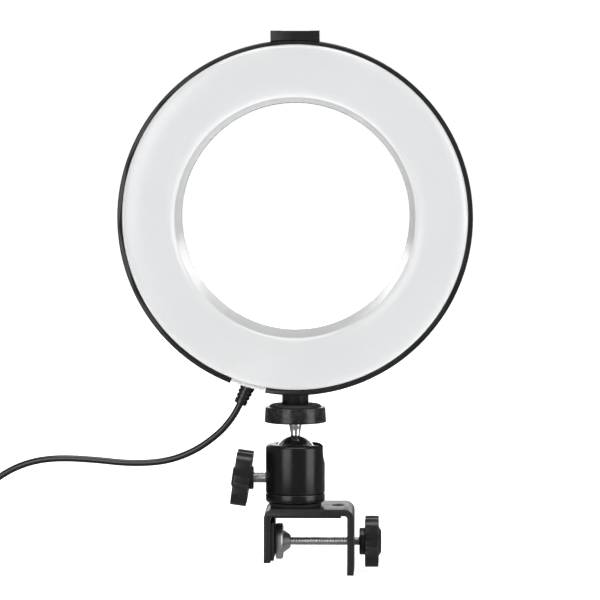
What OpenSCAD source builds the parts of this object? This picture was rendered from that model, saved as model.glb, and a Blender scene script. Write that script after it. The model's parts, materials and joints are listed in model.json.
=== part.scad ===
// Ring light on a mini ball head with an edge clamp, millimetres.
// Origin: underside of the web pad, on the ball head's axis. +Z up, the light faces -Y.

/* [Ring] */
// Outer diameter of the casing
ring_d = 160; // [150:1:200]
// Depth of the casing, front to back
ring_depth = 16; // [15:0.5:20]
// Diameter of the opening
hole_d = 103; // [80:1:108]
// Thickness of the back plate
back_t = 1.8; // [1.4:0.1:2.4]
// Thickness of the outer wall
rim_t = 2.1; // [1.6:0.1:2.6]
// How far the diffuser stands proud of the rim
diffuser_rise = 3.7; // [2:0.1:5]
// Wall thickness of the diffuser
diffuser_t = 1.5; // [1.2:0.1:2]
// Number of light-emitting diodes
led_count = 64; // [32:2:80]

/* [Back of the ring] */
// Width of one vent slot
vent_w = 2.6; // [2:0.1:3]
// Distance between vent slots
vent_pitch = 5.75; // [4:0.25:6]
// Angle that a vent group spans
vent_span = 28; // [20:1:34]
// Diameter of the keyhole's round end
keyhole_d = 8; // [6:0.5:9]
// Width of the keyhole's slot
keyhole_slot = 4; // [3:0.5:5]

/* [Accessory shoe] */
// Outer width of the shoe
shoe_w = 22; // [21.4:0.1:24]
// Depth of the shoe, front to back
shoe_l = 15.5; // [14:0.5:18]
// Width of the channel
shoe_slot_w = 18.7; // [18.6:0.05:19]
// Height of the channel
shoe_slot_h = 2.2; // [2.1:0.05:2.5]
// Width of the gap between the lips
shoe_gap_w = 12.6; // [12:0.1:13]
// Thickness of the lips
shoe_lip_t = 1.2; // [1:0.1:1.6]

/* [Neck and lock disc] */
// Diameter of the neck under the ring
neck_d = 12; // [11:0.5:14]
// Length of the neck below the ring
neck_len = 4.5; // [4:0.5:8]
// Diameter of the quarter inch stud
stud_d = 6.35; // [6:0.05:7.7]
// Diameter of the lock disc
disc_d = 28; // [24:0.5:29]
// Thickness of the lock disc
disc_t = 7; // [6:0.5:9]
// Diameter of the pad on the lock disc
pad_d = 23.4; // [20:0.2:23.6]
// How far that pad stands proud
pad_rise = 1.05; // [0.6:0.05:1.5]

/* [Ball head] */
// Diameter of the ball
ball_d = 20; // [16:0.5:21]
// Outer diameter of the housing
head_d = 26.8; // [26.4:0.2:30]
// Height of the housing, from washer to rim
head_h = 26.4; // [26:0.2:32]
// Height of the separate base below the groove
base_t = 4.3; // [3.5:0.1:4.6]
// Depth of the ball's centre below the rim
ball_drop = 6.2; // [6:0.1:7]
// Distance from the ball's centre to the lock disc
stem_len = 16.15; // [16:0.05:20]
// Width of the drop notch
notch_w = 10; // [9.6:0.1:11]
// Diameter of the locking screw
lock_d = 5; // [4:0.5:6]
// Half the height over the locking knob's lobes
lock_knob_half = 12.1; // [11:0.1:13]
// Lean of the locking knob's wings
knob_lean = 8; // [0:1:10]

/* [Clamp] */
// Thickness of the steel strip
plate_t = 3; // [2.5:0.1:3.6]
// Inner width between the legs
throat_w = 34.5; // [30:0.5:42]
// Width of the strip, front to back
strip_w = 36; // [30:1:44]
// Height of the left leg over all
left_leg = 24.5; // [24:0.5:30]
// Height of the right leg over all
right_leg = 30; // [28:0.5:40]
// Inside bend radius
bend_r = 1.2; // [1:0.1:2]
// Distance from the left leg's inner face to the head's axis
head_offset = 10.8; // [10.5:0.1:14]
// Diameter of the spare hole in the web
spare_d = 5.8; // [5:0.1:6.5]
// Diameter of the clamping screw
clamp_d = 4; // [4:0.1:5]
// Depth of the clamping screw below the web pad
clamp_drop = 12.4; // [12:0.1:14]
// Diameter of the swivel foot
foot_d = 16.4; // [14:0.2:18]
// Half the height over the clamp knob's lobes
clamp_knob_half = 11; // [10:0.5:12]

/* [Cord] */
// Diameter of the cord
cord_d = 3; // [2.8:0.1:3.1]
// Mean radius of the stored coil
coil_r = 18; // [18:0.5:20]
// Length of the controller case
case_l = 48; // [46:1:52]
// Width of the controller case
case_w = 17; // [16:0.5:18]
// Height of the controller case
case_h = 9.5; // [9:0.5:12]

/* [Hidden] */

$fn = 96;
eps = 0.01;          // overrun of a cut past a face
run_fit = 0.05;      // radial clearance of a shaft that turns or slides
still_fit = 0.05;    // clearance between pieces that are fixed together
air = 0.3;           // gap between pieces that move past each other

// Clamp heights and places
pad_t = 1;
jaw_pad_t = 1.5;
web_z = pad_t;
web_top = web_z + plate_t;
left_in = -head_offset;
right_in = left_in + throat_w;
left_out = left_in - plate_t;
right_out = right_in + plate_t;
leg_corner = 2;
spare_x = right_in - 4.3;
foot_gap = 0.4;
foot_t = 3.5;
foot_cone = 3.3;
foot_x = left_in + jaw_pad_t + foot_gap;
foot_neck_x = foot_x + foot_t + foot_cone;
clamp_hub_x = right_out + 2.3;
clamp_hub_t = 2.6;
clamp_body_t = 6.2;
clamp_cap_t = 1.2;

// Ball-head stack
washer_t = 1.5;
washer_d = head_d - 3.2;
base_z = web_top + washer_t;
split_z = base_z + base_t;
rim_z = base_z + head_h;
ball_r = ball_d / 2;
ball_z = rim_z - ball_drop;
head_r = head_d / 2;
bore_r = ball_r + 0.2;
spigot_h = 4;
cup_z = split_z + spigot_h + run_fit;
cup_top = cup_z + 6.6;
lock_z = cup_z + 2.6;
cup_flank_low = 8;
cup_flank_h = 5;
cup_r = bore_r - run_fit;
bolt_d = 6.35;
bolt_head_d = 11;
bolt_head_cone = (bolt_head_d - bolt_d) / 2;

// Locking screw, measured along -X from the head's axis
flank_slope = (cup_r - cup_flank_low) / cup_flank_h;
flank_r = cup_flank_low + flank_slope * (lock_z - cup_z);
set_r = 1.25;
set_gap = 0.0625;
set_start = flank_r + flank_slope * set_r + set_gap;
tip_r = lock_d / 2 - 0.4;
tip_cone = tip_r * flank_slope;
tip_apex = flank_r + run_fit;
tip_len = 2.4;
tip_end = tip_apex + tip_cone + tip_len;
tail_r = 1;
tail_len = 1.5;
lock_start = tip_end + air;
lock_hub = head_r + 5.5;
lock_hub_t = 2.1;
lock_plate_t = 7.3;
lock_plate = lock_hub + 1.6;

// Stem, disc and ring stack
stem_low_r = 1.95;
stem_top_r = 2.9;
shoulder_r = 3.4;
shoulder_t = 0.8;
spigot_r = 2;
spigot_len = 5;
disc_z = ball_z + stem_len;
disc_top = disc_z + disc_t;
disc_recess = 0.9;
counterbore_r = shoulder_r + 0.6;
counterbore_h = 2.6;
neck_z = disc_top + pad_rise;
stud_z = disc_z + shoulder_t + air;
stud_top = neck_z + neck_len + 3;
insert_len = 8;
insert_r = 4.4;
ring_r = ring_d / 2;
ring_z = neck_z + neck_len + ring_r;
neck_top = ring_z - ring_r + 7.5;

// Ring section, radius against depth; the front is at -ring_depth / 2
hole_r = hole_d / 2;
front_y = -ring_depth / 2 + 1;
flange_y = front_y + 2.2;
back_y = ring_depth / 2;
floor_y = back_y - back_t;
neck_flat = 0.6;
neck_front = max(flange_y + air, neck_flat - neck_d / 2);
diff_out_r = ring_r - rim_t - still_fit - 0.1;
diff_in_r = hole_r + 2.5;
diff_foot_r = hole_r + 0.15;
crown_r = (diff_out_r + diff_in_r) / 2;
crown_hw = (diff_out_r - diff_in_r) / 2;
lip_r = diff_foot_r + diffuser_t + 0.5;
band_r = (ring_r + hole_r) / 2;
board_y = 2;
board_t = 1.2;
board_in = diff_in_r + diffuser_t + 0.6;
board_out = ring_r - rim_t - 1.5;
boss_r = 2.4;
board_screw_d = 2;
boss_angles = [22.5, 67.5, 112.5, 157.5, 202.5, 247.5, 292.5, 337.5];
vent_angles = [45, 90, 135, 225, 270, 315];
chamfer_r = ring_r - 5;
shoe_top = ring_z + ring_r + 4.1;

// Cord exit, an angle left of straight down
relief_angle = asin(21.6 / ring_r);
relief_lean = 9;
relief_len = 8.8;
relief_w = 6.8;
relief_y = 2;
grommet_t = 1.2;
grommet_r = ring_r - rim_t - grommet_t - 0.1;
slot_half = 8.2 / ring_r * 180 / PI;
tab_half = slot_half - 0.15;
tab_ribs = 6;

// Stored cord, beside the clamp
store_z = -26;
tie_t = 0.6;
coil_x = -190;
coil_half_w = 5;
coil_z = store_z + tie_t;
coil_h = 12.5;
store_top = coil_z + coil_h + tie_t;
case_x = -198;
case_y = 4;
case_wall = 1.4;
plug_y = -16;
plug_h = 7.5;
plug_w = 15.5;
plug_z = store_top + plug_h / 2;
case_z = store_top + case_h / 2;
button_r = 2.4;
button_pitch = 9;
button_rise = 0.8;
button_travel = 0.4;
board_c_z = store_top + 3.4;
case_board_t = 1;
switch_h = 1.7;
shell_w = 12;
shell_h = 4.5;
shell_t = 0.35;
plug_back = -222;
plug_relief = 10;
plug_front = -187;
shell_tip = -174.5;

// The cord's route from the strain relief to the coil
cord_route = [
  [-25, 2, 50], [-28, 2, 44.5], [-32.5, 2, 38.7], [-38, 2.5, 33.7], [-44.5, 3, 29.2], [-51.5, 4, 25.8],
  [-58.5, 5, 23.6], [-65.5, 6, 22.5], [-73, 7, 22.1], [-80.5, 8, 22.3], [-88, 10, 22.8], [-96, 12, 23.2],
  [-104, 13.5, 23.4], [-112, 15, 23], [-120, 16.5, 21.6], [-128, 18, 18.8], [-135.5, 19, 14.6],
  [-142.5, 19.6, 9.2], [-149.5, 20, 3], [-156, 20.2, -3.5], [-162.5, 20.4, -9.8], [-169, 21, -15.6],
  [-176, 21.2, -21.5], [-183, 21.2, -23.7], [-190, 21.2, -23.8]
];
// The cord's last stretch, from the coil up to the controller
tail_route = [
  [-190, -21.2, -14.5], [-183, -21.2, -14.5], [-176, -21.2, -14.3], [-170, -20.7, -13.7],
  [-164, -18.6, -12.4], [-159.8, -14.8, -11], [-157.6, -10, -9.7], [-157.6, -5, -8.7],
  [-159.8, -0.6, -8], [-164, 3, -7.6], [-169, 4, -7.55], [-174, 4, -7.55]
];
// The lead from the controller to the plug
plug_route = [
  [-222, 4, -7.55], [-227, 4, -7.55], [-232, 2.6, -7.75], [-235.7, -1, -8.05], [-237, -6, -8.25],
  [-235.7, -11, -8.45], [-232, -14.6, -8.55], [-227, -16, -8.55], [-222, -16, -8.55]
];

// ---------- shapes used more than once ----------

// A cylinder along +X from x0 to x1
module rod_x(x0, x1, r, r2 = -1) {
  translate([x0, 0, 0])
    rotate([0, 90, 0])
      cylinder(h = x1 - x0, r1 = r, r2 = r2 < 0 ? r : r2);
}

// A cylinder along +Y from y0 to y1
module rod_y(y0, y1, r) {
  translate([0, y0, 0])
    rotate([-90, 0, 0])
      cylinder(h = y1 - y0, r = r);
}

// A round band about the ring's axis from r0 to r1 and y0 to y1
module ring_band(r0, r1, y0, y1) {
  difference() {
    rod_y(y0, y1, r1);
    rod_y(y0 - eps, y1 + eps, r0);
  }
}

// A piece of such a band, centred on an angle right of the top
module ring_arc(r0, r1, y0, y1, middle, span) {
  rotate([90, 0, 0])
    rotate([0, 0, 90 - middle - span / 2])
      translate([0, 0, -y1])
        rotate_extrude(angle = span)
          translate([r0, 0])
            square([r1 - r0, y1 - y0]);
}

// Places children on the ring at an angle right of the top, with +Z pointing outwards
module at_ring(angle, r) {
  rotate([0, angle, 0])
    translate([0, 0, r])
      children();
}

// A rectangle with round corners
module round_rect(w, h, r) {
  square([w - 2 * r, h], center = true);
  square([w, h - 2 * r], center = true);
  for (sx = [-1, 1], sy = [-1, 1])
    translate([sx * (w / 2 - r), sy * (h / 2 - r)])
      circle(r = r, $fn = 32);
}

// A knob's outline: four lobes about a round middle, with half its height and a lobe's radius
module lobed_outline(half, lobe_r) {
  crease = 1.2;
  circle(r = half - crease);
  for (a = [45, 135, 225, 315])
    rotate([0, 0, a])
      translate([(half - lobe_r) * sqrt(2), 0])
        circle(r = lobe_r);
}

// The direction of a route at point i
function heading(p, i) =
  let (a = p[max(i - 1, 0)], b = p[min(i + 1, len(p) - 1)], d = b - a) d / norm(d);

// A ring of points about a route's point
function hoop(p, i, r, n) =
  let (t = heading(p, i), s = cross(t, [0, 0, 1]) / norm(cross(t, [0, 0, 1])), u = cross(s, t))
  [for (k = [0:n - 1]) p[i] + r * (cos(360 * k / n) * s + sin(360 * k / n) * u)];

// A round tube with closed ends along a route
module swept(p, r, n = 8) {
  last = len(p) - 1;
  points = [for (i = [0:last]) each hoop(p, i, r, n)];
  sides = [for (i = [0:last - 1], k = [0:n - 1])
    [i * n + k, i * n + (k + 1) % n, (i + 1) * n + (k + 1) % n, (i + 1) * n + k]];
  near = [for (k = [n - 1:-1:0]) k];
  far = [for (k = [0:n - 1]) last * n + k];
  polyhedron(points = points, faces = concat(sides, [near], [far]), convexity = 6);
}

// ---------- clamp ----------

// The strip's outline seen from the front, with bent corners
module strip_outline() {
  outer_r = bend_r + plate_t;
  difference() {
    union() {
      translate([left_out + outer_r, web_z])
        square([right_out - left_out - 2 * outer_r, plate_t]);
      translate([left_out, web_top - left_leg])
        square([plate_t, left_leg - outer_r]);
      translate([right_in, web_top - right_leg])
        square([plate_t, right_leg - outer_r]);
      for (x = [left_out + outer_r, right_out - outer_r])
        translate([x, web_top - outer_r])
          circle(r = outer_r);
    }
    translate([left_in, web_top - outer_r - 20])
      square([throat_w, 20]);
    translate([left_in + bend_r, web_z - bend_r - eps])
      square([throat_w - 2 * bend_r, bend_r + eps]);
    for (x = [left_in + bend_r, right_in - bend_r])
      translate([x, web_z - bend_r])
        circle(r = bend_r);
  }
}

// Rounds off a leg's two lower corners
module leg_corner_cut(x, z) {
  for (s = [-1, 1])
    translate([x - eps, s * (strip_w / 2 - leg_corner), z + leg_corner])
      difference() {
        translate([0, s > 0 ? 0 : -leg_corner - eps, -leg_corner - eps])
          cube([plate_t + 2 * eps, leg_corner + eps, leg_corner + eps]);
        rod_x(-eps, plate_t + 3 * eps, leg_corner);
      }
}

module clamp_bracket() {
  color("#222222")
    difference() {
      translate([0, strip_w / 2, 0])
        rotate([90, 0, 0])
          linear_extrude(strip_w)
            strip_outline();
      translate([0, 0, web_z - eps])
        cylinder(h = plate_t + 2 * eps, r = bolt_d / 2 + still_fit);
      translate([0, 0, web_z - eps])
        cylinder(h = bolt_head_cone + eps, r1 = bolt_head_d / 2 + 0.1, r2 = bolt_d / 2 + still_fit);
      translate([spare_x, 0, web_z - eps])
        cylinder(h = plate_t + 2 * eps, r = spare_d / 2);
      translate([0, 0, -clamp_drop])
        rod_x(right_in - 1, right_out + 1, clamp_d / 2 + run_fit);
      leg_corner_cut(left_out, web_top - left_leg);
      leg_corner_cut(right_in, web_top - right_leg);
    }
}

module web_pad() {
  pad_x0 = left_in + bend_r + 0.6;
  pad_x1 = spare_x - spare_d / 2 + 4.5;
  color("#1a1a1a")
    difference() {
      translate([pad_x0, -strip_w / 2 + 1, 0])
        cube([pad_x1 - pad_x0, strip_w - 2, pad_t]);
      translate([spare_x, 0, -eps])
        cylinder(h = pad_t + 2 * eps, r = spare_d / 2 + 0.2);
    }
}

module jaw_pad() {
  top = -bend_r - 1;
  color("#1a1a1a")
    translate([left_in, -strip_w / 2 + 2, web_top - left_leg + 1])
      cube([jaw_pad_t, strip_w - 4, top - (web_top - left_leg + 1)]);
}

module clamp_foot() {
  color("silver")
    translate([0, 0, -clamp_drop])
      difference() {
        union() {
          rod_x(foot_x, foot_x + foot_t, foot_d / 2);
          rod_x(foot_x + foot_t, foot_neck_x, 5.4, clamp_d / 2 + 1);
        }
        rod_x(foot_neck_x - 3, foot_neck_x + eps, clamp_d / 2 + run_fit);
      }
}

module clamp_screw() {
  color("silver")
    translate([0, 0, -clamp_drop])
      rod_x(foot_neck_x - 3 + air, clamp_hub_x + clamp_hub_t + 3, clamp_d / 2);
}

module clamp_knob() {
  body_x = clamp_hub_x + clamp_hub_t;
  color("#202020")
    translate([0, 0, -clamp_drop])
      difference() {
        union() {
          rod_x(clamp_hub_x, body_x + eps, 6.15);
          translate([body_x, 0, 0])
            rotate([90, 0, 90])
              linear_extrude(clamp_body_t)
                lobed_outline(clamp_knob_half, 5.7);
        }
        rod_x(clamp_hub_x - eps, body_x + 3 + still_fit, clamp_d / 2 + still_fit);
      }
}

module clamp_knob_cap() {
  x0 = clamp_hub_x + clamp_hub_t + clamp_body_t;
  color("#2a2a2a")
    translate([0, 0, -clamp_drop])
      rod_x(x0, x0 + clamp_cap_t, 6.8, 5);
}

// ---------- ball head ----------

module head_bolt() {
  color("silver")
    difference() {
      union() {
        translate([0, 0, web_z])
          cylinder(h = bolt_head_cone, r1 = bolt_head_d / 2, r2 = bolt_d / 2);
        translate([0, 0, web_z + bolt_head_cone - eps])
          cylinder(h = split_z + 2 - web_z - bolt_head_cone, r = bolt_d / 2);
      }
      translate([0, 0, web_z - eps])
        cylinder(h = 2, r = 2, $fn = 6);
    }
}

module head_washer() {
  color("#141414")
    difference() {
      translate([0, 0, web_top])
        cylinder(h = washer_t, r = washer_d / 2);
      translate([0, 0, web_top - eps])
        cylinder(h = washer_t + 2 * eps, r = bolt_d / 2 + still_fit);
    }
}

module head_base() {
  edge = 0.35;
  color("#1c1c1c")
    difference() {
      union() {
        translate([0, 0, base_z])
          cylinder(h = 0.8, r1 = head_r - 0.8, r2 = head_r);
        translate([0, 0, base_z + 0.8 - eps])
          cylinder(h = base_t - 0.8 - edge + 2 * eps, r = head_r);
        translate([0, 0, split_z - edge])
          cylinder(h = edge, r1 = head_r, r2 = head_r - edge);
        translate([0, 0, split_z - eps])
          cylinder(h = spigot_h + eps, r = bore_r - still_fit);
      }
      translate([0, 0, base_z - eps])
        cylinder(h = split_z + 2.5 - base_z, r = bolt_d / 2 + still_fit);
    }
}

// Half of the housing's section, radius against height
module head_section() {
  edge = 0.35;
  corner = 2;
  difference() {
    translate([0, split_z])
      square([head_r, rim_z - split_z]);
    translate([-eps, split_z - eps])
      square([bore_r + eps, ball_z - split_z + eps]);
    translate([0, ball_z])
      circle(r = ball_r + run_fit);
    translate([-eps, rim_z - 1])
      polygon([[0, 0], [7.8, 0], [9.2, 1 + eps], [0, 1 + eps]]);
    translate([head_r - edge, split_z - eps])
      polygon([[0, 0], [edge + eps, 0], [edge + eps, edge]]);
    translate([head_r - corner, rim_z - corner])
      difference() {
        square(corner + eps);
        circle(r = corner);
      }
  }
}

module head_body() {
  flare = 1.3;
  notch_z = rim_z - 4;
  color("#1c1c1c")
    difference() {
      rotate_extrude()
        head_section();
      translate([0, 0, notch_z])
        rod_x(0, head_r + 1, notch_w / 2);
      translate([0, -notch_w / 2, notch_z])
        cube([head_r + 1, notch_w, 10]);
      rotate([90, 0, 90])
        linear_extrude(head_r + 1)
          polygon([
            [-notch_w / 2 - flare - 1, rim_z + 1], [-notch_w / 2, rim_z - flare],
            [notch_w / 2, rim_z - flare], [notch_w / 2 + flare + 1, rim_z + 1]
          ]);
      translate([0, 0, lock_z])
        rod_x(-head_r - 1, -cup_flank_low, lock_d / 2 + run_fit);
      translate([0, 0, lock_z])
        rod_x(cup_flank_low, head_r + 1, set_r + still_fit);
    }
}

module pressure_cup() {
  color("#d8d4c8")
    difference() {
      union() {
        translate([0, 0, cup_z])
          cylinder(h = cup_flank_h, r1 = cup_flank_low, r2 = cup_r);
        translate([0, 0, cup_z + cup_flank_h - eps])
          cylinder(h = cup_top - cup_z - cup_flank_h, r = cup_r);
      }
      translate([0, 0, ball_z])
        sphere(r = ball_r + run_fit);
      translate([0, 0, cup_z - eps])
        cylinder(h = 4, r = 4);
    }
}

module set_screw() {
  color("#333333")
    translate([0, 0, lock_z])
      difference() {
        rod_x(set_start, head_r - 0.4, set_r);
        rotate([0, 90, 0])
          translate([0, 0, head_r - 1.4])
            cylinder(h = 2, r = 0.7, $fn = 6);
      }
}

// The tip slides with the screw and doesn't turn
module lock_tip() {
  color("goldenrod")
    translate([0, 0, lock_z])
      mirror([1, 0, 0]) {
        rod_x(tip_apex, tip_apex + tip_cone, 0.05, tip_r);
        rod_x(tip_apex + tip_cone - eps, tip_end, tip_r);
        rod_x(tip_end - eps, tip_end + tail_len, tail_r);
      }
}

module lock_screw() {
  color("silver")
    translate([0, 0, lock_z])
      mirror([1, 0, 0])
        difference() {
          rod_x(lock_start, lock_hub + lock_hub_t + 4, lock_d / 2);
          rod_x(lock_start - eps, lock_start + tail_len + air, tail_r + run_fit);
        }
}

module lock_knob() {
  color("#202020")
    translate([0, 0, lock_z])
      difference() {
        union() {
          mirror([1, 0, 0])
            rod_x(lock_hub, lock_plate + 1, 5.3);
          translate([-lock_plate - lock_plate_t / 2, 0, 0])
            rotate([0, knob_lean, 0])
              translate([-lock_plate_t / 2, 0, 0])
                rotate([90, 0, 90])
                  linear_extrude(lock_plate_t)
                    lobed_outline(lock_knob_half, 6.3);
        }
        mirror([1, 0, 0])
          rod_x(lock_hub - 1, lock_hub + lock_hub_t + 4 + still_fit, lock_d / 2 + still_fit);
      }
}

module lock_knob_cap() {
  color("#2a2a2a")
    translate([-lock_plate - lock_plate_t / 2, 0, lock_z])
      rotate([0, knob_lean, 0])
        mirror([1, 0, 0])
          rod_x(lock_plate_t / 2, lock_plate_t / 2 + 0.9, 5.2, 4);
}

// ---------- ball, stem and lock disc ----------

module ball() {
  color("#d0d0d4")
    translate([0, 0, ball_z])
      sphere(r = ball_r);
}

module stem() {
  color("#c4c4c8")
    difference() {
      union() {
        translate([0, 0, ball_z + 8])
          cylinder(h = stem_len - 8, r1 = stem_low_r - 0.2, r2 = stem_top_r);
        translate([0, 0, disc_z - 0.3])
          cylinder(h = shoulder_t + 0.3, r = shoulder_r);
        translate([0, 0, disc_z])
          cylinder(h = shoulder_t + spigot_len, r = spigot_r);
      }
      translate([0, 0, ball_z])
        sphere(r = ball_r + air);
    }
}

module stud() {
  color("#b8b8bc")
    difference() {
      translate([0, 0, stud_z])
        cylinder(h = stud_top - stud_z, r = stud_d / 2);
      translate([0, 0, stud_z - eps])
        cylinder(h = spigot_len + air + eps, r = spigot_r + run_fit);
    }
}

module lock_disc() {
  flare = 0.4;
  color("#1c1c1c")
    difference() {
      union() {
        translate([0, 0, disc_z])
          cylinder(h = 1, r = disc_d / 2);
        translate([0, 0, disc_z + 1 - eps])
          cylinder(h = disc_t - 2 + 2 * eps, r1 = disc_d / 2, r2 = disc_d / 2 - flare);
        translate([0, 0, disc_top - 1])
          cylinder(h = 1, r1 = disc_d / 2 - flare, r2 = disc_d / 2 - flare - 0.6);
      }
      translate([0, 0, disc_z - eps])
        cylinder(h = disc_t + 1, r = stud_d / 2 + run_fit);
      translate([0, 0, disc_z - eps])
        cylinder(h = counterbore_h, r = counterbore_r);
      translate([0, 0, disc_top - disc_recess])
        cylinder(h = disc_recess + eps, r = pad_d / 2 + run_fit);
    }
}

module pad_disc() {
  color("#101010")
    difference() {
      union() {
        translate([0, 0, disc_top - disc_recess + run_fit])
          cylinder(h = disc_recess + 0.2 - run_fit, r = pad_d / 2);
        translate([0, 0, disc_top + 0.2 - eps])
          cylinder(h = pad_rise - 0.2 + eps, r1 = pad_d / 2, r2 = pad_d / 2 - 0.9);
      }
      translate([0, 0, disc_top - disc_recess - eps])
        cylinder(h = disc_recess + pad_rise + 1, r = stud_d / 2 + air);
    }
}

module neck_insert() {
  color("goldenrod")
    difference() {
      translate([0, 0, neck_z + 0.4])
        cylinder(h = insert_len, r = insert_r);
      translate([0, 0, neck_z])
        cylinder(h = insert_len + 1, r = stud_d / 2 + still_fit);
    }
}

// ---------- ring ----------

module vent_slots() {
  for (a = vent_angles, k = [-1, 0, 1])
    ring_arc(
      band_r - 1.35 + k * vent_pitch - vent_w / 2, band_r - 1.35 + k * vent_pitch + vent_w / 2,
      floor_y - 1, back_y + 1, a, vent_span
    );
}

module keyhole() {
  at_ring(0, band_r - 6)
    rod_y(floor_y - 1, back_y + 1, keyhole_d / 2);
  at_ring(0, band_r + 2.3)
    rod_y(floor_y - 1, back_y + 1, keyhole_slot / 2);
  at_ring(0, band_r - 6)
    translate([-keyhole_slot / 2, floor_y - 1, 0])
      cube([keyhole_slot, back_t + 2, 8.3]);
}

// The casing's section, radius against depth, with the back edge stepped in
module casing_section() {
  difference() {
    polygon([
      [hole_r, -back_y], [chamfer_r, -back_y], [chamfer_r + 1, -back_y + 0.6],
      [chamfer_r + 1.4, -back_y + 1.6], [ring_r - 1.2, -back_y + 2.4], [ring_r, -back_y + 3.6],
      [ring_r, -front_y - 0.4], [ring_r - 0.4, -front_y], [hole_r, -front_y]
    ]);
    translate([lip_r + 1.2, -floor_y])
      square([chamfer_r - 1.5 - lip_r - 1.2, ring_depth]);
    translate([hole_r - eps, -floor_y + 2])
      square([ring_r - rim_t - hole_r + eps, ring_depth]);
    translate([hole_r - eps, -floor_y])
      square([lip_r - hole_r + eps, ring_depth]);
  }
}

module ring_housing() {
  color("#1b1b1b")
    translate([0, 0, ring_z])
      difference() {
        union() {
          rotate([90, 0, 0])
            rotate_extrude($fn = 180)
              casing_section();
          for (a = boss_angles)
            at_ring(a, band_r)
              rod_y(board_y + board_t, floor_y + eps, boss_r);
          translate([0, 0, neck_z - ring_z])
            cylinder(h = neck_len + rim_t, r = neck_d / 2);
          intersection() {
            translate([0, 0, -ring_r])
              cylinder(h = neck_top - ring_z + ring_r, r = neck_d / 2);
            translate([-neck_d, neck_front, -ring_r])
              cube([2 * neck_d, floor_y + air - neck_front, ring_r]);
          }
        }
        vent_slots();
        keyhole();
        for (a = boss_angles)
          at_ring(a, band_r)
            rod_y(board_y - 1, floor_y, board_screw_d / 2 + still_fit);
        translate([0, 0, neck_z - ring_z - eps])
          cylinder(h = neck_top - neck_z + 1, r = stud_d / 2 + still_fit);
        translate([0, 0, neck_z + 0.4 - ring_z - still_fit])
          cylinder(h = insert_len + 2 * still_fit, r = insert_r + still_fit);
        ring_arc(
          grommet_r - 3.2, ring_r + 1, -ring_depth, back_y - 2.4, 180 + relief_angle, 2 * slot_half
        );
      }
}

// How far the diffuser's front stands at a radius, as a share of its rise
function arch(t) = pow(max(0, 1 - pow(abs(t), 2.6)), 1 / 2.6);

// Points over the arch from the inner edge to the outer, for a half width and a rise
function arch_points(hw, rise, n = 28) =
  [for (k = [0:n]) let (t = cos(180 - 180 * k / n)) [crown_r + hw * t, -front_y + rise * arch(t)]];

module diffuser_section() {
  inner_hw = crown_hw - diffuser_t;
  polygon(concat(
    [[diff_foot_r, -floor_y + still_fit]],
    arch_points(crown_hw, diffuser_rise),
    [[diff_out_r, -flange_y], [diff_out_r - diffuser_t, -flange_y]],
    [for (p = arch_points(inner_hw, diffuser_rise - diffuser_t)) [2 * crown_r - p[0], p[1]]],
    [[diff_foot_r + diffuser_t, -floor_y + still_fit]]
  ));
}

module diffuser() {
  color("#eeeeea")
    translate([0, 0, ring_z]) {
      rotate([90, 0, 0])
        rotate_extrude($fn = 180)
          diffuser_section();
      ring_arc(diff_out_r - 1, ring_r - 1.2, front_y, flange_y, 180 + relief_angle, 2 * tab_half);
      for (k = [0:tab_ribs - 1])
        ring_arc(
          ring_r - 1.3, ring_r - 0.7, front_y, flange_y,
          180 + relief_angle + tab_half * (2 * k + 1 - tab_ribs) / tab_ribs, tab_half / tab_ribs
        );
    }
}

module led_board() {
  color("#e8e8e4")
    translate([0, 0, ring_z])
      difference() {
        ring_band(board_in, board_out, board_y, board_y + board_t);
        for (a = boss_angles)
          at_ring(a, band_r)
            rod_y(board_y - 1, board_y + board_t + 1, board_screw_d / 2 + still_fit);
        translate([-neck_d / 2 - 1, board_y - 1, -board_out - 1])
          cube([neck_d + 2, board_t + 2, neck_top - ring_z + board_out + 2]);
      }
}

module led_chips() {
  color("#f3e08a")
    translate([0, 0, ring_z])
      for (k = [0:led_count - 1])
        at_ring((k + 0.5) * 360 / led_count, band_r + 4)
          translate([-1.4, board_y - 0.8, -1.75])
            cube([2.8, 0.8, 3.5]);
}

module led_resistors() {
  color("#202020")
    translate([0, 0, ring_z])
      for (k = [0:led_count / 4 - 1])
        at_ring((k + 0.5) * 1440 / led_count, band_r - 4)
          translate([-1, board_y - 0.5, -0.6])
            cube([2, 0.5, 1.2]);
}

module board_screws() {
  color("silver")
    translate([0, 0, ring_z])
      for (a = boss_angles)
        at_ring(a, band_r) {
          rod_y(board_y - 1.2, board_y, 1.9);
          rod_y(board_y - eps, board_y + board_t + 2.4, board_screw_d / 2);
        }
}

module cold_shoe() {
  slot_top = shoe_top - shoe_lip_t;
  slot_z = slot_top - shoe_slot_h;
  front_wall = 1.6;
  color("#1b1b1b")
    difference() {
      translate([-shoe_w / 2, -shoe_l / 2, ring_z + ring_r - 1.5])
        cube([shoe_w, shoe_l, shoe_top - ring_z - ring_r + 1.5]);
      translate([0, 0, ring_z])
        rod_y(-shoe_l, shoe_l, ring_r, $fn = 360);
      translate([-shoe_slot_w / 2, -shoe_l / 2 + front_wall, slot_z])
        cube([shoe_slot_w, shoe_l, shoe_slot_h]);
      translate([-shoe_gap_w / 2, -shoe_l / 2 + front_wall, slot_z])
        cube([shoe_gap_w, shoe_l, shoe_top]);
      for (k = [0:4])
        translate([-shoe_w / 2 - eps, -shoe_l / 2 - eps, ring_z + ring_r + 0.5 + 0.75 * k])
          cube([shoe_w + 2 * eps, 0.2, 0.3]);
    }
}

// Half of the boot's section: three grooves in a tapered sleeve
module boot_section() {
  groove = 0.4;
  start_r = relief_w / 2;
  end_r = start_r - 0.6;
  difference() {
    polygon([[0, 0], [start_r, 0], [end_r, relief_len], [0, relief_len]]);
    for (k = [0:2])
      translate([start_r - groove - 0.15 - 0.15 * k, 1.9 + 2 * k])
        square([2 * groove + 0.5, 0.7]);
  }
}

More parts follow.
